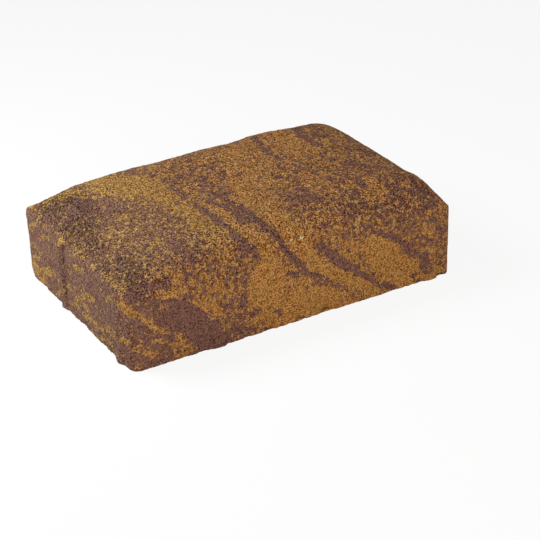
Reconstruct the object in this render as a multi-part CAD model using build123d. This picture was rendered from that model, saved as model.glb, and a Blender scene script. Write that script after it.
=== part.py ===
from build123d import *
import math
import os

# A concrete cobble paver, cast as one solid piece, in millimetres.
# It lies on its flat bed, with X along its length, Y across it and Z up.
# The origin is on the bed, in the middle.

# Size of the block, without its spacer ribs
length = 210.0
width = 140.0
height = 60.0
corner_radius = 6.0

# Height of the arris, where the straight side meets the pillowed top
arris_height = 42.5

# The top is level in the middle and falls to the arris at the sides and the ends.
# A low number falls from far in, and a high number stays level nearly to the edge.
left_end_fall = 5.5
right_end_fall = 15.0
side_fall = 7.5

# Spacer ribs, from the bed to the top, two on each side of the block.
# Their places are seen from outside, facing that side.
rib_width = 11.0
rib_depth = 1.8
rib_from_left_corner = 53.0
rib_from_right_corner = 15.5

# Points that carry the surface of the top
points_along = 45
points_across = 33


def top_height(x, y):
    """Height of the top over the bed.

    It is the arris, plus the rise of the pillow times two factors. Each factor is
    one less a power of the distance from the middle, as a share of the half size.
    """
    end_fall = left_end_fall if x < 0 else right_end_fall
    level_along = 1 - abs(2 * x / length) ** end_fall
    level_across = 1 - abs(2 * y / width) ** side_fall
    return arris_height + (height - arris_height) * level_along * level_across


def places(reach, count):
    """Places from -reach to reach, on a sine, so that they crowd towards both ends."""
    return [reach * math.sin(math.pi / 2 * (2 * i / (count - 1) - 1)) for i in range(count)]


def rib_section():
    """Section of one rib on a wall along X: an arc that stands out towards -Y, and its root in the wall."""
    arc = ThreePointArc((-rib_width / 2, 0), (0, -rib_depth), (rib_width / 2, 0))
    root = Polyline(
        (rib_width / 2, 0),
        (rib_width / 2, rib_depth),
        (-rib_width / 2, rib_depth),
        (-rib_width / 2, 0),
    )
    return make_face(arc + root)


def outline():
    """The block seen from above: a rectangle with round corners and two ribs on each side."""
    shape = RectangleRounded(length, width, corner_radius)
    walls = ((0, length, width), (90, width, length), (180, length, width), (270, width, length))
    for turn, span, depth in walls:
        for along in (rib_from_left_corner - span / 2, span / 2 - rib_from_right_corner):
            shape += Rot(0, 0, turn) * Pos(along, -depth / 2) * rib_section()
    return shape


def under_the_top():
    """Everything under the pillowed surface, which reaches past the ribs on each side."""
    skirt = 2 * rib_depth
    surface = Face.make_surface_from_array_of_points(
        [
            [Vector(x, y, top_height(x, y)) for y in places(width / 2 + skirt, points_across)]
            for x in places(length / 2 + skirt, points_along)
        ],
        min_deg=3,
        max_deg=5,
    )
    return extrude(surface, amount=2 * height, dir=(0, 0, -1))


cobble_paver = extrude(outline(), amount=2 * height) & under_the_top()

os.makedirs("parts", exist_ok=True)
export_step(cobble_paver, "parts/cobble_paver.step")
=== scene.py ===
import itertools
import math

import bpy
import numpy as np
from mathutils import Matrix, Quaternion, Vector


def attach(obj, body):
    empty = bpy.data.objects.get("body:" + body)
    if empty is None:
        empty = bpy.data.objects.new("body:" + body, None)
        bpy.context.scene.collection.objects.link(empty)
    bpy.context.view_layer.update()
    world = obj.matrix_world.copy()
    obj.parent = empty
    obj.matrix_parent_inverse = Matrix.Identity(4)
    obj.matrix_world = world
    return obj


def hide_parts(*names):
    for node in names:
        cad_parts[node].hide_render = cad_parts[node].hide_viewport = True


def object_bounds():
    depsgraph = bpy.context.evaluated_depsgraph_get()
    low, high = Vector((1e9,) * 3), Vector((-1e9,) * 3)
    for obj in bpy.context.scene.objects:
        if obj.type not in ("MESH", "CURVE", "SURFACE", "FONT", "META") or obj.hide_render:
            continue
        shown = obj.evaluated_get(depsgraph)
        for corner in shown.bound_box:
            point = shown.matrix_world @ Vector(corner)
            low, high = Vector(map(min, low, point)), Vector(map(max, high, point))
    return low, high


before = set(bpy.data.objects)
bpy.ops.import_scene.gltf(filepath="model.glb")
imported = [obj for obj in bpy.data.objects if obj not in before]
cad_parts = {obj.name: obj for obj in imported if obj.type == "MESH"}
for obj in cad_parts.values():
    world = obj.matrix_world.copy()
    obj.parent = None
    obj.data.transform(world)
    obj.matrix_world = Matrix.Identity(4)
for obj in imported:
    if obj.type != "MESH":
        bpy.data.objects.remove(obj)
cad_low, cad_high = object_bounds()

# Sizes of the casting, in millimetres
MM = 0.001
RIB_WIDTH = 11.0
RIB_DEPTH = 1.8
RIB_FROM_LEFT_CORNER = 53.0
RIB_FROM_RIGHT_CORNER = 15.5
CORNER_RADIUS = 6.0
ARRIS_HEIGHT = 42.5
LEFT_END_FALL = 5.5
RIGHT_END_FALL = 15.0
SIDE_FALL = 7.5

# The smooth skin lies a hair inside the solid
SKIN_INSET = 0.05
LENGTH = (cad_high.x - cad_low.x) / MM - 2 * (RIB_DEPTH + SKIN_INSET)
WIDTH = (cad_high.y - cad_low.y) / MM - 2 * (RIB_DEPTH + SKIN_INSET)
HEIGHT = cad_high.z / MM - SKIN_INSET

# Distance between the points of the skin, along it and up the walls, and the rings that close its bed
GRID_STEP = 0.73
WALL_STEP = 1.15
BED_RINGS = (0.9, 2.0, 3.5, 5.5, 8.5, 13.0)

# How far from the arris the skin is rounded, and how strongly
ARRIS_REACH = 2.2
ARRIS_ROUNDING = 0.8

# Edges of the skin that turn by more than this are shaded sharp
SHARP_ANGLE = math.radians(55)

# The patterns lie askew to the block, so that no grid line of theirs shows along an edge
ASKEW = np.array(((0.80, -0.48, 0.36), (0.60, 0.64, -0.48), (0.0, 0.60, 0.80)))


def top_height(x, y):
    """Height of the top over the bed: the arris, plus the rise of the pillow times two factors. Each factor
    is one less a power of the distance from the middle, as a share of the half size."""
    end_fall = np.where(x < 0, LEFT_END_FALL, RIGHT_END_FALL)
    level_along = 1 - np.abs(2 * x / LENGTH) ** end_fall
    level_across = 1 - np.abs(2 * y / WIDTH) ** SIDE_FALL
    return ARRIS_HEIGHT + (HEIGHT - ARRIS_HEIGHT) * level_along * level_across


def cell_values(cell, seed):
    """A number from 0 to 1 for each whole-numbered cell, from its three counts times large primes,
    mixed with its own high bits."""
    mixed = (cell[:, 0] * 73856093) ^ (cell[:, 1] * 19349663) ^ (cell[:, 2] * 83492791) ^ (seed * 2654435)
    mixed = ((mixed ^ (mixed >> 13)) * 1274126177) & 0xFFFFFFFF
    mixed = ((mixed ^ (mixed >> 15)) * 2246822519) & 0xFFFFFFFF
    return ((mixed ^ (mixed >> 16)) & 0xFFFFF) / 0xFFFFF


def soft_noise(points, size, seed):
    """Smooth noise from -1 to 1 with lumps of that size: the values at the eight corners of each point's
    cell, weighted by the point's smoothed place between them."""
    place = points @ ASKEW / size
    cell = np.floor(place).astype(np.int64)
    share = place - cell
    share = share * share * (3 - 2 * share)
    total = np.zeros(len(points))
    for corner in itertools.product((0, 1), repeat=3):
        weight = np.prod(np.where(np.array(corner) == 1, share, 1 - share), axis=1)
        total += weight * cell_values(cell + np.array(corner), seed)
    return 2 * total - 1


def rough_noise(points, size, octaves, seed):
    """Soft noise summed at falling sizes, each 0.47 times as large as the last and 0.55 times as strong."""
    total = np.zeros(len(points))
    for octave in range(octaves):
        total += 0.55**octave * soft_noise(points, size * 0.47**octave, seed + octave)
    return total


def scattered(points, size, seed):
    """Distance to the nearest of the points scattered one to a cell, in millimetres, and the number from
    0 to 1 that belongs to it."""
    place = points @ ASKEW / size
    cell = np.floor(place).astype(np.int64)
    nearest = np.full(len(points), np.inf)
    owner = np.zeros(len(points))
    for offset in itertools.product((-1, 0, 1), repeat=3):
        other = cell + np.array(offset)
        jitter = np.stack([cell_values(other, seed + axis) for axis in range(3)], axis=1)
        distance = np.linalg.norm(other + jitter - place, axis=1)
        closer = distance < nearest
        nearest = np.where(closer, distance, nearest)
        owner = np.where(closer, cell_values(other, seed + 3), owner)
    return nearest * size, owner


def ramp(value, low, high):
    """0 at low and below, 1 at high and above, and a smooth S between."""
    share = np.clip((value - low) / (high - low), 0, 1)
    return share * share * (3 - 2 * share)


def wall_line(span, reach):
    """One side of the outline, seen from outside: even steps along the wall, and how far out each lies.
    The corners fall back on a circle and the two ribs stand out on arcs."""
    half = span / 2 - CORNER_RADIUS * (1 - math.sqrt(0.5))
    along = np.linspace(-half, half, 2 * round(half / GRID_STEP) + 1)
    past = np.maximum(np.abs(along) - (span / 2 - CORNER_RADIUS), 0)
    out = reach - CORNER_RADIUS + np.sqrt(CORNER_RADIUS**2 - past**2)
    rib_radius = (RIB_WIDTH**2 / 4 + RIB_DEPTH**2) / (2 * RIB_DEPTH)
    for place in (RIB_FROM_LEFT_CORNER - span / 2, span / 2 - RIB_FROM_RIGHT_CORNER):
        beside = np.minimum(np.abs(along - place), RIB_WIDTH / 2)
        out = out + np.sqrt(rib_radius**2 - beside**2) - (rib_radius - RIB_DEPTH)
    return along, out


def outline_walls():
    """The four sides of the outline, anticlockwise from the front, each a wall line turned by quarters."""
    walls = []
    for quarter in range(4):
        span, depth = (LENGTH, WIDTH) if quarter % 2 == 0 else (WIDTH, LENGTH)
        along, out = wall_line(span, depth / 2)
        x, y = along, -out
        for _ in range(quarter):
            x, y = -y, x
        walls.append(np.stack([x, y], axis=1))
    return walls


def plan_grid(walls):
    """Grid over the plan: the blend of front and back, plus the blend of left and right, less the blend of
    the four corners, so that its edges lie on the outline."""
    front, right, back, left = walls[0], walls[1], walls[2][::-1], walls[3][::-1]
    u = np.linspace(0, 1, len(front))[:, None, None]
    v = np.linspace(0, 1, len(left))[None, :, None]
    across = (1 - v) * front[:, None] + v * back[:, None]
    along = (1 - u) * left[None] + u * right[None]
    corners = (1 - v) * ((1 - u) * front[0] + u * front[-1]) + v * ((1 - u) * back[0] + u * back[-1])
    return across + along - corners


def grid_edge(columns, rows):
    """Numbers of a grid's points along its edge, anticlockwise from the first."""
    number = np.arange(columns * rows).reshape(columns, rows)
    return np.concatenate([number[:-1, 0], number[-1, :-1], number[:0:-1, -1], number[0, :0:-1]])


def block_surface():
    """The smooth block, closed: a grid over the top, rows round the walls down to the bed, and rings
    inwards over the bed. It gives the points, the four-sided faces, and the ring that closes the bed."""
    plan = plan_grid(outline_walls())
    columns, rows = plan.shape[:2]
    x, y = plan[..., 0].ravel(), plan[..., 1].ravel()
    top = np.stack([x, y, top_height(x, y)], axis=1)
    edge = grid_edge(columns, rows)
    number = np.arange(columns * rows).reshape(columns, rows)
    quads = [np.stack([number[:-1, :-1], number[1:, :-1], number[1:, 1:], number[:-1, 1:]], axis=-1)]
    points = [top]
    above = edge
    levels = round(ARRIS_HEIGHT / WALL_STEP)
    bands = [(0.0, level / levels) for level in range(levels - 1, -1, -1)]
    bands += [(inset, 0.0) for inset in BED_RINGS]
    for inset, rise in bands:
        ring = top[edge] * (1 - 2 * inset / LENGTH, 1 - 2 * inset / WIDTH, rise)
        below = np.arange(len(edge)) + sum(len(part) for part in points)
        quads.append(np.stack([below, np.roll(below, -1), np.roll(above, -1), above], axis=-1))
        points.append(ring)
        above = below
    return np.concatenate(points), np.concatenate([part.reshape(-1, 4) for part in quads]), above[::-1]


def neighbour_mean(values, quads):
    """Mean of each point's neighbours along the sides of the faces."""
    start = np.concatenate([quads, quads], axis=1).ravel()
    end = np.concatenate([np.roll(quads, -1, axis=1), np.roll(quads, 1, axis=1)], axis=1).ravel()
    count = np.maximum(np.bincount(start, minlength=len(values)), 1)
    sums = [np.bincount(start, weights=column[end], minlength=len(values)) for column in values.T]
    return np.stack(sums, axis=1) / count[:, None]


def outward(points, quads):
    """Unit normal of each point: the sum of the cross products of its faces' diagonals."""
    corner = points[quads]
    face = np.cross(corner[:, 2] - corner[:, 0], corner[:, 3] - corner[:, 1])
    sums = [np.bincount(quads.ravel(), weights=np.repeat(face[:, axis], 4), minlength=len(points))
            for axis in range(3)]
    normal = np.stack(sums, axis=1)
    return normal / np.maximum(np.linalg.norm(normal, axis=1), 1e-9)[:, None]


# Swells and lumps of the relief, in millimetres: size, octaves, height on a smooth face, how much more there
# is on a fully open one, and seed
LUMPS = (
    (42.0, 1, 0.20, 0.30, 1),
    (12.0, 2, 0.12, 0.28, 5),
    (4.5, 2, 0.08, 0.30, 8),
    (1.6, 1, 0.03, 0.24, 10),
)

# Rounded grains of the relief, in millimetres: spacing, radius, height on a smooth face, and how much more
# on a fully open one
GRAIN_SPACING = 2.0
GRAIN_RADIUS = 1.4
GRAIN_HEIGHT = 0.02
GRAIN_HEIGHT_OPEN = 0.30

# Sparse pits, in millimetres: spacing of their cells, share of the cells with one, radius, depth and seed
PITS = (
    (9.0, 0.35, 1.4, 0.5, 31),
    (4.5, 0.30, 1.2, 0.6, 41),
)

# Cracks of the relief at the open end: depth and spacing in millimetres, and how narrow they are
CRACK_DEPTH = 1.1
CRACK_SPACING = 4.5
CRACK_SHARPNESS = 8

# How ragged the lower edge and the bed are, and how high the ragged edge reaches, in millimetres
LOWER_EDGE_RAGGED = 0.7
LOWER_EDGE_REACH = 2.2
BED_RAGGED = 0.12

# Places where the top is fuller or lower than the even pillow: middle, radius and rise in millimetres
HUMPS = (
    ((50.0, 58.0, 56.0), 24.0, 1.2),
    ((12.0, 57.0, 56.5), 19.0, 0.6),
    ((85.0, -48.0, 56.0), 20.0, 1.8),
    ((-78.0, 56.0, 53.0), 24.0, 0.4),
    ((82.0, 44.0, 57.5), 19.0, -1.4),
)

# The sharp root on one side of a rib: face, line along it in millimetres, half width and depth
SEAM = ("left", ((13.0, 41.0), (13.2, 22.0), (13.4, 3.0)), 2.2, 0.85)

# Chips are dents around a place this far inside the face, in millimetres, so that they are shallow bowls
CHIP_SUNK = 1.2

# Places where the concrete broke away: face, place on it in millimetres, radius and depth
CHIPS = (
    ("front", (18.0, 0.0), 6.0, 2.6),
    ("front", (-19.0, 0.0), 3.5, 1.4),
    ("front", (97.0, 0.0), 4.0, 1.3),
    ("front", (-38.0, 42.0), 4.0, 0.9),
    ("left", (66.0, 0.0), 4.5, 1.8),
    ("left", (-8.0, 0.0), 7.0, 0.9),
    ("left", (-50.0, 43.0), 4.0, 1.2),
    ("left", (12.0, 41.5), 5.0, 1.0),
    ("top", (-88.0, -43.0), 4.0, 1.6),
    ("top", (-92.0, 12.0), 4.5, 1.6),
    ("top", (-75.0, -58.0), 3.0, 1.2),
    ("back", (40.0, 0.0), 5.0, 1.8),
    ("back", (-62.0, 42.0), 4.0, 1.0),
    ("right", (-30.0, 0.0), 5.0, 1.5),
    ("right", (22.0, 42.5), 4.5, 1.1),
)


def on_face(face, places):
    """Points of a face in millimetres, from two numbers each: along the block and across it on the top, and
    along the wall's own axis and up it on the four walls."""
    first, second = np.array(places, float).reshape(-1, 2).T
    if face == "top":
        return np.stack([first, second, top_height(first, second)], axis=1)
    side = np.full(len(first), {"front": -WIDTH, "back": WIDTH, "left": -LENGTH, "right": LENGTH}[face] / 2)
    if face in ("front", "back"):
        return np.stack([first, side, second], axis=1)
    return np.stack([side, first, second], axis=1)


# Openness of the surface: on the whole top, how much more over the shoulder and at the coarse end, and on
# the left wall
OPEN_TOP = 0.12
OPEN_SHOULDER = 0.33
OPEN_COARSE = 0.5
OPEN_LEFT_WALL = 0.3

# The coarse end begins and is full this far left of the middle, and its border winds, in millimetres
COARSE_BEGINS = 70
COARSE_FULL = 98
COARSE_WINDING = 7


def openness(points):
    """How open the surface of the concrete is: 0 on the walls, which the mould smoothed, a little more on
    the left wall, rising over the shoulder to about a half on the top, and most at the top's left end."""
    top = ramp(points[:, 2], ARRIS_HEIGHT - 2, ARRIS_HEIGHT + 3)
    shoulder = ramp(points[:, 2], ARRIS_HEIGHT, HEIGHT)
    leftward = -points[:, 0] + COARSE_WINDING * rough_noise(points, 20, 2, 11)
    coarse = ramp(leftward, COARSE_BEGINS, COARSE_FULL)
    left_wall = ramp(-points[:, 0], LENGTH / 2 - 3, LENGTH / 2 - 1)
    on_top = OPEN_TOP * top + OPEN_SHOULDER * shoulder + OPEN_COARSE * top * coarse
    return np.maximum(on_top, OPEN_LEFT_WALL * left_wall)


def dent(away, radius):
    """1 at the middle of a dent and 0 at its rim: the square of one less the squared share of the radius."""
    return np.clip(1 - (away / radius) ** 2, 0, 1) ** 2


def relief(points, normal):
    """How far each point stands out from the smooth block, in millimetres.

    Wide swells and lumps carry rounded grains. Sparse pits and the chips are dents. The more open the
    surface, the stronger they all are, and cracks open between the lumps at the coarse end.
    """
    open_face = openness(points)
    coarse = ramp(open_face, 0.50, 0.90)
    bed = ramp(-normal[:, 2], 0.5, 0.9)
    height = np.zeros(len(points))
    for size, octaves, least, more, seed in LUMPS:
        height += rough_noise(points, size, octaves, seed) * (least + more * open_face)
    distance, owner = scattered(points, GRAIN_SPACING, 21)
    grain = (0.6 - (distance / GRAIN_RADIUS) ** 2) * (0.4 + 1.2 * owner)
    height += grain * (GRAIN_HEIGHT + GRAIN_HEIGHT_OPEN * open_face)
    for spacing, share, radius, depth, seed in PITS:
        distance, owner = scattered(points, spacing, seed)
        pit = dent(distance, radius * (0.6 + 0.8 * owner / share))
        height -= np.where(owner < share, pit, 0) * depth * (0.25 + 1.3 * open_face)
    crack = 1 - np.abs(rough_noise(points, CRACK_SPACING, 2, 51))
    height -= CRACK_DEPTH * coarse * np.clip(crack, 0, 1) ** CRACK_SHARPNESS
    for place, radius, rise in HUMPS:
        height += rise * dent(np.linalg.norm(points - place, axis=1), radius)
    face, line, half_width, depth = SEAM
    height -= depth * dent(distance_to_line(points - 0.5 * RIB_DEPTH * normal, face, line), half_width)
    for face, place, radius, depth in CHIPS:
        away = np.linalg.norm(points + CHIP_SUNK * normal - on_face(face, place), axis=1)
        height -= depth * dent(away, radius)
    near_bed = ramp(-points[:, 2], -LOWER_EDGE_REACH, 0)
    height -= LOWER_EDGE_RAGGED * np.abs(rough_noise(points, 5, 3, 61)) * near_bed
    return height * (1 - bed) - BED_RAGGED * np.abs(rough_noise(points, 4, 3, 71)) * bed


# Tone of the mix under the streaks, how much browner the left wall is, and how far it wavers in two sizes
BASE_TONE = 0.07
LEFT_WALL_BROWNER = 0.60
WIDE_WAVER = 0.20
SMALL_WAVER = 0.26

# The streaks are shifted by this much noise, and fade over this span around their half width, in millimetres
STREAK_SHIFT = 1.1
STREAK_FADE = (-1.8, 1.2)

# The coloured mixes: face, tone from brown at -1 to tan at 1, half width, and the line they follow
STREAKS = (
    ("top", 0.05, 11, ((-18, 44), (-16, 14))),
    ("top", -0.38, 13, ((-96, 40), (-88, 22), (-84, 8))),
    ("top", -0.7, 5, ((-88, 28), (-80, 24), (-77, 18))),
    ("top", -0.22, 8, ((-95, 2), (-95, -25), (-92, -50))),
    ("top", -0.3, 6, ((-80, 4), (-84, -8), (-86, -20))),
    ("top", -0.5, 7, ((-78, 20), (-70, 8))),
    ("top", 0.6, 4, ((-92, 57), (-84, 52), (-82, 46))),
    ("top", 0.8, 8, ((-64, 54), (-60, 40), (-54, 28), (-49, 16))),
    ("top", 0.6, 4, ((-71, 44), (-66, 30), (-56, 14))),
    ("top", 0.65, 6, ((-47, 36), (-44, 15), (-43, -5), (-43, -25), (-43, -40))),
    ("top", 0.35, 5, ((-43, -40), (-41, -52), (-40, -62))),
    ("top", -0.7, 1.6, ((-45, 60), (-44, 48), (-44, 42))),
    ("top", -0.2, 2.5, ((-39, 40), (-36, 34))),
    ("top", -0.3, 1.2, ((-34, 26), (-31, 18), (-32, 8))),
    ("top", -0.3, 1.1, ((-34, 4), (-33, -2))),
    ("top", -0.6, 1.1, ((-37, -5), (-41, -8))),
    ("top", 0.85, 6, ((8, 10), (2, 0), (-1, -12), (-5, -26), (-5, -40), (-4, -54), (2, -66))),
    ("top", 0.85, 3.2, ((-28, -16), (-28, -24), (-27, -36), (-27, -46), (-24, -57), (-17, -68))),
    ("top", -1.0, 1.5, ((-34, -17), (-34, -26), (-33, -38), (-32, -47))),
    ("top", -0.8, 1.2, ((-32, -47), (-33, -56), (-30, -63), (-24, -69))),
    ("top", -0.2, 4, ((-14, 12), (-17, 2))),
    ("top", -0.4, 2.2, ((-24, -3), (-18, -8), (-16, -14))),
    ("top", -0.9, 1.6, ((-26, -15), (-24, -24), (-21, -31))),
    ("top", -0.8, 1.3, ((-17, -12), (-16, -22), (-16, -30))),
    ("top", -0.4, 3.2, ((-19, -28), (-18, -42))),
    ("top", -0.9, 1.3, ((-22, -38), (-22, -46))),
    ("top", -1.0, 1.7, ((-15, -32), (-14, -46), (-14, -52))),
    ("top", -1.0, 1.4, ((-14, -52), (-12, -58), (-9, -64), (-6, -69))),
    ("top", 0.52, 11, ((22, 36), (21, 18), (16, 2), (12, -10))),
    ("top", 0.4, 5, ((36, 50), (34, 30), (34, 8))),
    ("top", 0.25, 4.5, ((7, -24), (6, -38))),
    ("top", -0.5, 1.1, ((46, 60), (42, 49))),
    ("top", -0.55, 1.8, ((41, 47), (38, 33), (37, 24))),
    ("top", -0.8, 1.4, ((36, 21), (37, 16), (37, 11))),
    ("top", -0.2, 1.5, ((34, 5), (32, 0))),
    ("top", -0.8, 1.2, ((24, -9), (21, -12))),
    ("top", -0.6, 1.2, ((7, 7), (4, 4))),
    ("top", -0.5, 1.1, ((15, -4), (12, -7))),
    ("top", 0.65, 8, ((54, 58), (56, 42), (50, 26), (56, 14))),
    ("top", -0.5, 2.4, ((74, 52), (70, 42), (67, 28), (66, 16))),
    ("top", -0.35, 4.5, ((15, -40), (22, -41), (27, -44))),
    ("top", -0.25, 4, ((58, -32), (60, -44))),
    ("top", 0.0, 12, ((82, 30), (86, 8), (84, -18), (78, -38))),
    ("top", -0.25, 6, ((70, -53), (84, -57), (92, -62))),
    ("top", -0.2, 4, ((38, -58), (54, -62), (68, -64))),
    ("top", 0.18, 6, ((92, 44), (94, 15), (94, -8))),
    ("top", -0.7, 2.2, ((76, 30), (78, 27))),
    ("top", -0.6, 2.0, ((66, -14), (74, -24), (78, -30))),
    ("top", -0.6, 1.8, ((84, -2), (90, -8))),
    ("top", 0.1, 3.0, ((86, -20), (90, -30))),
    ("top", -0.6, 1.6, ((46, -52), (52, -49))),
    ("top", 0.6, 2.5, ((66, -40), (65, -48), (66, -56))),
    ("top", -0.07, 16, ((-80, -20), (-72, -44))),
    ("top", -0.12, 9, ((-60, 2), (-60, -30))),
    ("top", -0.6, 2.5, ((-65, -46), (-64, -54), (-61, -62))),
    ("top", -0.5, 2.0, ((-54, -22), (-50, -28))),
    ("front", -0.5, 14, ((-94, 40), (-92, 22), (-94, 8))),
    ("front", -0.4, 8, ((-88, 38), (-82, 32))),
    ("front", -1.0, 8, ((-72, 30), (-70, 22))),
    ("front", -1.0, 8, ((-68, 20), (-60, 10), (-56, 4))),
    ("front", 0.15, 1.7, ((-104, 38), (-97, 32), (-90, 24), (-85, 20))),
    ("front", 0.35, 2.0, ((-87, 43), (-80, 41), (-74, 39))),
    ("front", 0.2, 1.8, ((-104, 16), (-97, 12), (-90, 8))),
    ("front", 0.05, 1.7, ((-92, 18), (-84, 12), (-76, 7), (-69, 3))),
    ("front", 0.05, 6, ((-64, 36), (-56, 28), (-48, 30), (-40, 34))),
    ("front", 0.2, 1.9, ((-68, 33), (-62, 29), (-55, 23), (-48, 19))),
    ("front", -0.15, 6, ((-43, 22), (-40, 12))),
    ("front", -0.4, 1.3, ((-35, 42), (-34, 32), (-35, 20))),
    ("front", -0.45, 4, ((-44, 6), (-36, 3))),
    ("front", 0.65, 9, ((-20, 38), (-19, 26), (-16, 12))),
    ("front", 0.65, 7, ((-26, 30), (-24, 16), (-8, 8))),
    ("front", 0.75, 8, ((0, 14), (10, 10), (20, 6))),
    ("front", -0.8, 1.4, ((-15, 11), (-13, 8))),
    ("front", -0.7, 1.3, ((-30, 14), (-27, 15))),
    ("front", 0.4, 3.5, ((-8, 29), (0, 25), (8, 21))),
    ("front", -0.9, 1.0, ((-6, 42), (-1, 36), (4, 31), (10, 27), (13, 23))),
    ("front", -0.7, 0.7, ((-6, 31), (-1, 29))),
    ("front", -0.6, 0.9, ((6, 20), (9, 21))),
    ("front", -0.25, 1.5, ((13, 22), (19, 19), (26, 16), (30, 11))),
    ("front", -0.4, 1.6, ((38, 10), (45, 6), (51, 5))),
    ("front", 0.75, 3.6, ((4, 41), (12, 33), (20, 26), (30, 19), (40, 12), (50, 5))),
    ("front", -0.8, 1.5, ((15, 43), (19, 38), (23, 33), (26, 30))),
    ("front", -0.5, 1.3, ((22, 37), (27, 35))),
    ("front", -1.0, 2.0, ((26, 30), (31, 25), (36, 23))),
    ("front", -1.0, 1.0, ((36, 22), (42, 17), (48, 12), (56, 6), (66, 0))),
    ("front", 0.25, 5, ((32, 38), (41, 32))),
    ("front", -0.7, 1.3, ((41, 30), (43, 30))),
    ("front", 1.0, 8, ((50, 33), (58, 25), (66, 16), (74, 8))),
    ("front", -0.1, 5, ((66, 40), (76, 34), (80, 26))),
    ("front", -0.8, 1.2, ((48, 44), (56, 38), (63, 34), (70, 28))),
    ("front", -0.8, 2.0, ((72, 24), (78, 21), (80, 19))),
    ("front", -0.8, 2.2, ((85, 17), (86, 11))),
    ("front", -0.7, 1.3, ((77, 6), (79, 5))),
    ("front", 0.0, 8, ((94, 36), (96, 20), (94, 8))),
    ("front", -0.5, 2.5, ((94, 33), (98, 30))),
    ("front", 0.4, 2.2, ((90, 3), (101, 4))),
    ("left", 0.1, 3, ((62, 6), (54, 7), (45, 8))),
    ("left", 0.6, 1.4, ((64, 9), (54, 9), (46, 11))),
    ("left", 0.7, 2.1, ((44, 11), (38, 14), (31, 16))),
    ("left", 0.6, 1.3, ((64, 3), (54, 3), (44, 4))),
    ("left", 0.3, 1.2, ((60, 14), (53, 17))),
    ("left", 0.5, 1.7, ((27, 14), (20, 15), (8, 17))),
    ("left", 0.5, 1.3, ((30, 4), (24, 8), (17, 12))),
    ("left", 0.35, 1.2, ((62, 21), (56, 24), (51, 21))),
    ("left", 0.5, 1.5, ((62, 32), (57, 36), (52, 38))),
    ("left", 0.5, 1.3, ((50, 31), (42, 35), (34, 38))),
    ("left", 0.5, 1.5, ((0, 14), (-8, 16), (-14, 14))),
    ("left", 0.3, 1.2, ((3, 10), (-2, 10))),
    ("left", 0.5, 1.2, ((-8, 7), (-20, 9), (-32, 10), (-42, 12), (-54, 14), (-68, 18))),
    ("left", 0.4, 1.1, ((-26, 2), (-36, 4), (-44, 5))),
    ("left", 0.5, 1.4, ((-36, 12), (-46, 16))),
    ("left", 0.7, 1.4, ((-9, 20), (-16, 22), (-24, 24))),
    ("left", 0.5, 1.4, ((2, 34), (-8, 36), (-15, 38))),
    ("left", 0.4, 1.2, ((11, 28), (4, 29))),
    ("left", 0.4, 1.2, ((24, 37), (16, 41))),
    ("left", 0.8, 3.2, ((-61, 39), (-68, 37))),
    ("left", 0.7, 1.0, ((20, 41), (15, 43))),
    # A line of the darkest brown along the seam at the root of the left wall's rib
    ("left", -1.0, 1.4, ((13, 39), (13, 18))),
    ("left", 0.5, 1.4, ((-44, 36), (-56, 39))),
    ("back", -0.8, 7, ((60, 40), (48, 24), (36, 8))),
    ("back", 0.9, 9, ((20, 36), (4, 20), (-8, 4))),
    ("back", -0.8, 4, ((-12, 42), (-26, 24), (-40, 4))),
    ("back", 0.8, 7, ((-44, 38), (-58, 22), (-70, 6))),
    ("back", 0.5, 4, ((86, 38), (78, 20), (66, 6))),
    ("right", -0.9, 6, ((-50, 38), (-34, 20), (-22, 4))),
    ("right", 0.8, 5, ((-20, 38), (-4, 22), (10, 6))),
    ("right", -0.7, 5, ((18, 36), (32, 18), (44, 4))),
)

# The scratch fades over this span around its half width, in millimetres
SCRATCH_FADE = (-0.5, 0.2)

# A short pale scratch just above the front arris, in two pieces: strength, half width and line on the top
SCRATCH = (
    (1.0, 0.12, ((2.2, -65.2), (5.2, -65.5))),
    (0.35, 0.12, ((-2.8, -65.4), (-1.4, -65.4))),
)


def distance_to_line(points, face, places):
    """Distance to the nearest of the straight runs between the places, in millimetres: each point less the
    nearest place on the run, which is its own place along the run held between the run's two ends."""
    line = on_face(face, places)
    away = np.full(len(points), np.inf)
    for start, end in zip(line[:-1], line[1:]):
        run = end - start
        share = np.clip((points - start) @ run / (run @ run), 0, 1)
        away = np.minimum(away, np.linalg.norm(points - start - share[:, None] * run, axis=1))
    return away


def tone(points):
    """Tone of the mix at each point, from brown at -1 to tan at 1.

    A base that wavers, and is browner on the left wall, is overlaid by the streaks in turn. Each point is
    first shifted by noise, so that the edges of the streaks are ragged.
    """
    shift = np.stack([rough_noise(points, 6, 3, seed) for seed in (101, 111, 121)], axis=1)
    ragged = points + STREAK_SHIFT * shift
    on_left = ramp(-points[:, 0], LENGTH / 2 - 4, LENGTH / 2 - 1) * ramp(-points[:, 2], -46, -40)
    value = BASE_TONE - LEFT_WALL_BROWNER * on_left + WIDE_WAVER * rough_noise(points, 16, 2, 131)
    value += SMALL_WAVER * soft_noise(points, 6.5, 141)
    for face, strength, half_width, places in STREAKS:
        cover = ramp(half_width - distance_to_line(ragged, face, places), *STREAK_FADE)
        value += cover * (strength - value)
    return value


def scratch(points):
    """The strength of the pale scratch on its lines, falling to 0 beside them."""
    parts = [strength * ramp(half_width - distance_to_line(points, "top", places), *SCRATCH_FADE)
             for strength, half_width, places in SCRATCH]
    return np.max(parts, axis=0)


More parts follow.
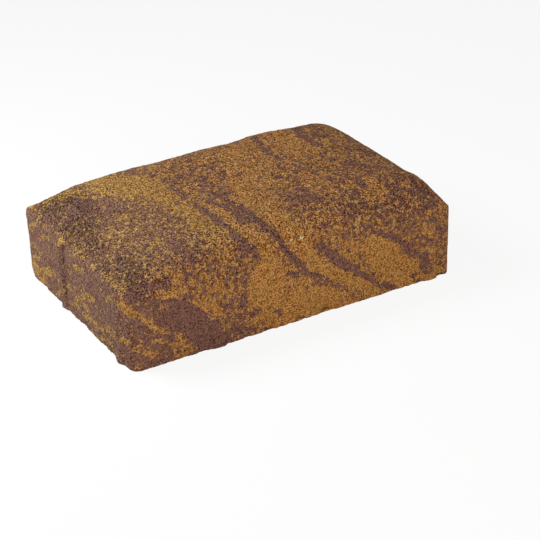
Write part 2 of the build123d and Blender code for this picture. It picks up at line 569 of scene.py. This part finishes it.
def block_mesh():
    """The finished skin as a mesh in metres, with its tone, openness, scratch and hollows as attributes.

    The arris is rounded first, by moving its points towards their neighbours, and then every point moves
    along its normal by the relief. A hollow is how far a point lies under the relief around it.
    """
    points, quads, bed_ring = block_surface()
    near_arris = np.exp(-((points[:, 2] - ARRIS_HEIGHT) / ARRIS_REACH) ** 2)
    for _ in range(2):
        points += near_arris[:, None] * ARRIS_ROUNDING * (neighbour_mean(points, quads) - points)
    normal = outward(points, quads)
    height = relief(points, normal)
    attributes = {"tone": tone(points), "openness": openness(points), "scratch": scratch(points)}
    points += normal * height[:, None]
    low, high = np.array(cad_low) / MM, np.array(cad_high) / MM
    points = np.clip(points, low, high)
    smooth = height[:, None]
    for _ in range(3):
        smooth = neighbour_mean(smooth, quads)
    attributes["hollow"] = smooth[:, 0] - height
    mesh = bpy.data.meshes.new("paver_block")
    mesh.from_pydata(points * MM, [], quads.tolist() + [bed_ring.tolist()])
    for name, values in attributes.items():
        attribute = mesh.attributes.new(name, "FLOAT", "POINT")
        attribute.data.foreach_set("value", values.astype(np.float32))
    mesh.shade_smooth()
    mesh.set_sharp_from_angle(angle=SHARP_ANGLE)
    return mesh


class Nodes:
    """Adds shader nodes to a material or world, and sets or links their sockets by name."""

    def __init__(self, owner):
        owner.use_nodes = True
        self.tree = owner.node_tree
        self.tree.nodes.clear()

    def add(self, kind, output=0, inputs=(), **settings):
        """A node's output socket. Inputs are pairs of a socket's name or number and a value or socket."""
        made = self.tree.nodes.new(kind)
        for name, value in settings.items():
            setattr(made, name, value)
        for name, value in inputs:
            if isinstance(value, bpy.types.NodeSocket):
                self.tree.links.new(value, made.inputs[name])
            else:
                made.inputs[name].default_value = value
        return made.outputs[output] if made.outputs else made

    def math(self, operation, *values):
        """Two or three numbers joined by one operation."""
        return self.add("ShaderNodeMath", inputs=tuple(enumerate(values)), operation=operation)

    def vector(self, operation, *values):
        """Two colours joined by one operation, channel by channel."""
        return self.add("ShaderNodeVectorMath", inputs=tuple(enumerate(values)), operation=operation)

    def scaled(self, colour, factor):
        """A colour times a number."""
        inputs = ((0, colour), ("Scale", factor))
        return self.add("ShaderNodeVectorMath", inputs=inputs, operation="SCALE")

    def centred(self, value, strength):
        """A value from 0 to 1 turned into one around 0, that many times as strong."""
        return self.math("MULTIPLY_ADD", value, strength, -0.5 * strength)

    def blend(self, share, low, high):
        """A colour that goes from one to another as the share goes from 0 to 1."""
        return self.add("ShaderNodeMixRGB", inputs=((0, share), (1, low), (2, high)))

    def between(self, share, low, high):
        """A number that goes from one to another as the share goes from 0 to 1."""
        return self.add("ShaderNodeMix", "Result", inputs=(("Factor", share), ("A", low), ("B", high)))

    def grains(self, place, size_mm):
        """Grains of that size in millimetres: distance from each one's middle, and its own two numbers."""
        inputs = (("Vector", place), ("Scale", 1 / (size_mm * MM)))
        distance = self.add("ShaderNodeTexVoronoi", "Distance", inputs=inputs)
        grain_colour = distance.node.outputs["Color"]
        own = self.add("ShaderNodeSeparateColor", "Red", inputs=(("Color", grain_colour),))
        return distance, own, own.node.outputs["Green"]

    def noise(self, place, size_mm, detail, roughness=0.55):
        """Noise from 0 to 1 around 0.5, with lumps of that size in millimetres."""
        inputs = (("Vector", place), ("Scale", 1 / (size_mm * MM)),
                  ("Detail", detail), ("Roughness", roughness))
        return self.add("ShaderNodeTexNoise", inputs=inputs)

    def span(self, value, low, high, to_low=0.0, to_high=1.0, kind="SMOOTHSTEP"):
        """A number that goes from one to another as the value goes from low to high, and stops there."""
        inputs = ((0, value), (1, low), (2, high), (3, to_low), (4, to_high))
        return self.add("ShaderNodeMapRange", inputs=inputs, interpolation_type=kind)


def linear(red, green, blue):
    """Linear colour of an sRGB colour given from 0 to 255."""
    return tuple((c / 255 / 12.92 if c < 11 else ((c / 255 + 0.055) / 1.055) ** 2.4)
                 for c in (red, green, blue)) + (1.0,)


# The brown and the tan mix, each in its usual and its paler shade, the scratch, and a bare pale grain
BROWN = linear(112, 76, 64)
PALE_BROWN = linear(123, 89, 74)
TAN = linear(168, 116, 61)
PALE_TAN = linear(164, 126, 66)
SCRATCH_COLOUR = linear(246, 234, 182)
# The bare pale grain is partly a painted highlight
BARE_GRAIN_GLINT = linear(214, 204, 190)

# Light and dark grains, the dark partly painted shade, differ by a share of their mix's own colour plus this
GRAIN_GREY = (0.065, 0.095, 0.062)

# No grain is darker than this
DARKEST = (0.015, 0.01, 0.006)

# Sizes in the material, in millimetres: its grains, and the lumps of its noise
FINE_GRAIN = 0.62
COARSE_GRAIN = 0.95
SPECKLE_SIZE = 2.8
DRIFT_SIZE = 9.0
PORE_SIZE = 0.85
PATCH_SIZE = 3.5
CRACK_SIZE = 3.2

# Where the paler shades end, along the block and at its front, in metres
PALE_ALONG = (-0.08, 0.02)
PALE_ACROSS = (-0.069, -0.050)

# Contrast of the grains on a smooth face and on an open one, and how the mixes change it
CONTRAST_SMOOTH = 0.76
CONTRAST_OPEN = 1.52
CONTRAST_BROWN = 0.72
CONTRAST_TAN = 1.10

# How much of the colour is left under the painted shade at the bottom of a pore, a hollow and a crack
PORE_SHADE = 0.22
HOLLOW_SHADE = 0.6
CRACK_SHADE = 0.2

# Depth of the bump on a smooth face and on a fully open one
BUMP_SMOOTH = 0.45 * MM
BUMP_OPEN = 0.9 * MM

# Roughness of the darkest and the lightest grains, and the weak gloss of them all
ROUGHNESS_DARK = 0.72
ROUGHNESS_LIGHT = 0.95
GLOSS = 0.12


def concrete():
    """Matt concrete in two mixes, brown and tan, speckled into each other, with grains, pores and cracks."""
    material = bpy.data.materials.new("moulded_concrete")
    nodes = Nodes(material)
    place = nodes.add("ShaderNodeTexCoord", "Object")
    tone_here = nodes.add("ShaderNodeAttribute", "Fac", attribute_name="tone")
    hollow = nodes.add("ShaderNodeAttribute", "Fac", attribute_name="hollow")
    open_face = nodes.add("ShaderNodeAttribute", "Fac", attribute_name="openness")
    scratched = nodes.add("ShaderNodeAttribute", "Fac", attribute_name="scratch")

    # Sand grains, each with numbers of its own: fine ones, and coarser ones where the face is most open
    coarse_share = nodes.span(open_face, 0.55, 1.0, 0.0, 0.7)
    fine, fine_own, fine_level = nodes.grains(place, FINE_GRAIN)
    coarse, coarse_own, coarse_level = nodes.grains(place, COARSE_GRAIN)
    own = nodes.between(coarse_share, fine_own, coarse_own)
    grain_light = nodes.between(coarse_share, fine_level, coarse_level)
    grain_rise = nodes.between(coarse_share, nodes.math("MULTIPLY", fine, FINE_GRAIN), coarse)

    # The tone is pushed about by noise and by each grain, and the sum decides which mix shows
    speckle = nodes.centred(nodes.noise(place, SPECKLE_SIZE, 4.0, 0.66), 5.0)
    pushed = nodes.math("ADD", nodes.math("ADD", tone_here, speckle), nodes.centred(own, 0.28))
    share = nodes.span(pushed, -0.17, 0.17)

    # Each mix drifts between two shades of its own, and has the paler one towards the left, off the front
    drift = nodes.span(nodes.noise(place, DRIFT_SIZE, 4.0, 0.6), 0.36, 0.64)
    along = nodes.add("ShaderNodeSeparateXYZ", "X", inputs=(("Vector", place),))
    leftward = nodes.span(along, *PALE_ALONG, 1.0, 0.0)
    off_front = nodes.span(along.node.outputs["Y"], *PALE_ACROSS, 0.1, 1.0)
    leftward = nodes.math("MULTIPLY", leftward, off_front)
    pale = nodes.math("MAXIMUM", nodes.math("MULTIPLY", drift, 0.4), leftward)
    brown = nodes.blend(pale, BROWN, PALE_BROWN)
    tan = nodes.blend(pale, TAN, PALE_TAN)
    colour = nodes.blend(share, brown, tan)
    colour = nodes.blend(scratched, colour, SCRATCH_COLOUR)

    # Grains are lighter and darker, most of all where the face is open, and a few coarse ones are bare
    contrast = nodes.span(open_face, 0.0, 0.5, CONTRAST_SMOOTH, CONTRAST_OPEN, "LINEAR")
    mix_contrast = nodes.span(share, 0.0, 1.0, CONTRAST_BROWN, CONTRAST_TAN, "LINEAR")
    contrast = nodes.math("MULTIPLY", contrast, mix_contrast)
    # Lighter grains are pale sand; darker ones are partly painted shade between the grains
    grain_tone_and_shade = nodes.math("MULTIPLY", nodes.centred(grain_light, 1.0), contrast)
    grained = nodes.scaled(nodes.vector("ADD", colour, GRAIN_GREY), grain_tone_and_shade)
    colour = nodes.vector("MAXIMUM", nodes.vector("ADD", colour, grained), DARKEST)
    # The few bare pale coarse grains, where the face is most open, are partly painted highlights
    bare_grain_glint = nodes.math("MULTIPLY", nodes.span(grain_light, 0.955, 0.98), coarse_share)
    colour = nodes.blend(bare_grain_glint, colour, BARE_GRAIN_GLINT)

    # Painted shade in the pores between the grains, in hollows and, at the open end, in thin winding cracks
    pore_noise = nodes.noise(place, PORE_SIZE, 1.0, 0.5)
    pore_limit = nodes.math("MULTIPLY_ADD", open_face, 0.07, 0.36)
    pore_depth = nodes.math("SUBTRACT", pore_noise, pore_limit)
    pore = nodes.span(pore_depth, -0.035, 0.035, PORE_SHADE, 1.0)
    patch_level = nodes.span(nodes.noise(place, PATCH_SIZE, 3.0, 0.6), 0.3, 0.7, 0.93, 1.07, "LINEAR")
    recess_shade = nodes.span(hollow, 0.04, 0.42, 1.0, HOLLOW_SHADE)
    winding = nodes.math("ABSOLUTE", nodes.centred(nodes.noise(place, CRACK_SIZE, 2.0, 0.6), 1.0))
    crack_floor = nodes.span(open_face, 0.5, 0.74, 1.0, CRACK_SHADE)
    crack = nodes.span(winding, 0.006, 0.045, crack_floor, 1.0)
    recess_shade = nodes.math("MULTIPLY", recess_shade, crack)
    # The random patches, times the painted shade of the pores, hollows and cracks
    level = nodes.math("MULTIPLY", nodes.math("MULTIPLY", patch_level, pore), recess_shade)
    colour = nodes.scaled(colour, level)

    # The same grains stand out, and the same pores and cracks sink in
    height = nodes.math("SUBTRACT", nodes.span(pore_depth, -0.05, 0.05, 0.0, 0.7), grain_rise)
    height = nodes.math("ADD", height, crack)
    depth = nodes.span(open_face, 0.0, 1.0, BUMP_SMOOTH, BUMP_OPEN, "LINEAR")
    bump = nodes.add("ShaderNodeBump", inputs=(("Strength", 1.0), ("Distance", depth), ("Height", height)))
    rough = nodes.span(grain_light, 0.0, 1.0, ROUGHNESS_DARK, ROUGHNESS_LIGHT, "LINEAR")
    surface = nodes.add("ShaderNodeBsdfPrincipled", inputs=(
        ("Base Color", colour), ("Roughness", rough), ("Specular IOR Level", GLOSS), ("Normal", bump)))
    nodes.add("ShaderNodeOutputMaterial", inputs=(("Surface", surface),))
    return material


# The floor, in metres, and how much of what the camera sees of it is plain white
FLOOR_RADIUS = 12.0
FLOOR_CORNERS = 96
FLOOR_WHITE = 0.88


def make_floor():
    """Round, plain and pale, level with the bed, wide enough to fill the picture behind the block. The
    camera sees it mostly as a plain white, so that the block's shadow on it stays light."""
    angle = np.linspace(0, 2 * np.pi, FLOOR_CORNERS, endpoint=False)
    rim = np.stack([np.cos(angle), np.sin(angle), np.zeros(FLOOR_CORNERS)], axis=1) * FLOOR_RADIUS
    mesh = bpy.data.meshes.new("floor")
    mesh.from_pydata(rim, [], [list(range(FLOOR_CORNERS))])
    floor = bpy.data.objects.new("floor", mesh)
    bpy.context.scene.collection.objects.link(floor)
    material = bpy.data.materials.new("floor_white")
    nodes = Nodes(material)
    path = nodes.add("ShaderNodeLightPath", "Is Camera Ray")
    lit = nodes.add("ShaderNodeBsdfDiffuse", inputs=(("Color", (0.92, 0.92, 0.92, 1.0)),))
    white = nodes.add("ShaderNodeEmission", inputs=(("Color", (1.0, 1.0, 1.0, 1.0)), ("Strength", 1.0)))
    seen_white = nodes.math("MULTIPLY", path, FLOOR_WHITE)
    surface = nodes.add("ShaderNodeMixShader", inputs=((0, seen_white), (1, lit), (2, white)))
    nodes.add("ShaderNodeOutputMaterial", inputs=(("Surface", surface),))
    mesh.materials.append(material)


# The lamps: name, place in metres, power in watts, width in metres and tint
LAMPS = (
    ("key", (-0.33, 0.20, 0.40), 2.65, 0.30, (0.97, 1.0, 1.03)),
    ("fill", (-0.20, -1.10, 0.62), 9.6, 0.80, (1.0, 0.96, 0.90)),
)

# Strength of the white surround as a light, beside 1 as it is seen
SURROUND_LIGHT = 0.16


def make_light():
    """A soft lamp on the left and a little behind, a broader and more distant one in front, and an even
    white surround that is seen as pure white."""
    for name, place, power, size, tint in LAMPS:
        lamp = bpy.data.lights.new(name, "AREA")
        lamp.shape = "DISK"
        lamp.energy = power
        lamp.size = size
        lamp.color = tint
        holder = bpy.data.objects.new(name, lamp)
        holder.location = place
        holder.rotation_euler = (-Vector(place)).to_track_quat("-Z", "Y").to_euler()
        bpy.context.scene.collection.objects.link(holder)
    world = bpy.data.worlds.new("surround")
    nodes = Nodes(world)
    path = nodes.add("ShaderNodeLightPath", "Is Camera Ray")
    seen = nodes.math("MAXIMUM", path, path.node.outputs["Is Glossy Ray"])
    seen = nodes.math("MAXIMUM", seen, path.node.outputs["Is Transmission Ray"])
    strength = nodes.span(seen, 0.0, 1.0, SURROUND_LIGHT, 1.0, "LINEAR")
    inputs = (("Color", (1.0, 1.0, 1.0, 1.0)), ("Strength", strength))
    surround = nodes.add("ShaderNodeBackground", inputs=inputs)
    nodes.add("ShaderNodeOutputWorld", inputs=(("Surface", surround),))
    bpy.context.scene.world = world


def make_camera():
    """Looks down on the block from its front left, a little rolled, from just under a metre away."""
    azimuth, elevation, roll = math.radians(-29.9), math.radians(28.0), math.radians(-1.69)
    aim = Vector((-6.72, -49.08, 25.0)) * MM
    distance = 907.0 * MM
    back = Vector((math.sin(azimuth) * math.cos(elevation), -math.cos(azimuth) * math.cos(elevation),
                   math.sin(elevation)))
    data = bpy.data.cameras.new("camera")
    data.sensor_width = 36.0
    data.lens = 107.15
    camera = bpy.data.objects.new("camera", data)
    camera.location = aim + back * distance
    camera.rotation_mode = "QUATERNION"
    camera.rotation_quaternion = (-back).to_track_quat("-Z", "Y") @ Quaternion((0, 0, 1), roll)
    data.clip_start, data.clip_end = 0.05, 50.0
    bpy.context.scene.collection.objects.link(camera)
    bpy.context.scene.camera = camera


make_camera()
make_light()
make_floor()

block = bpy.data.objects.new("paver_block", block_mesh())
bpy.context.scene.collection.objects.link(block)
block.data.materials.append(concrete())
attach(block, "root")
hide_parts("cobble_paver")

bpy.context.scene.view_settings.view_transform = "Standard"
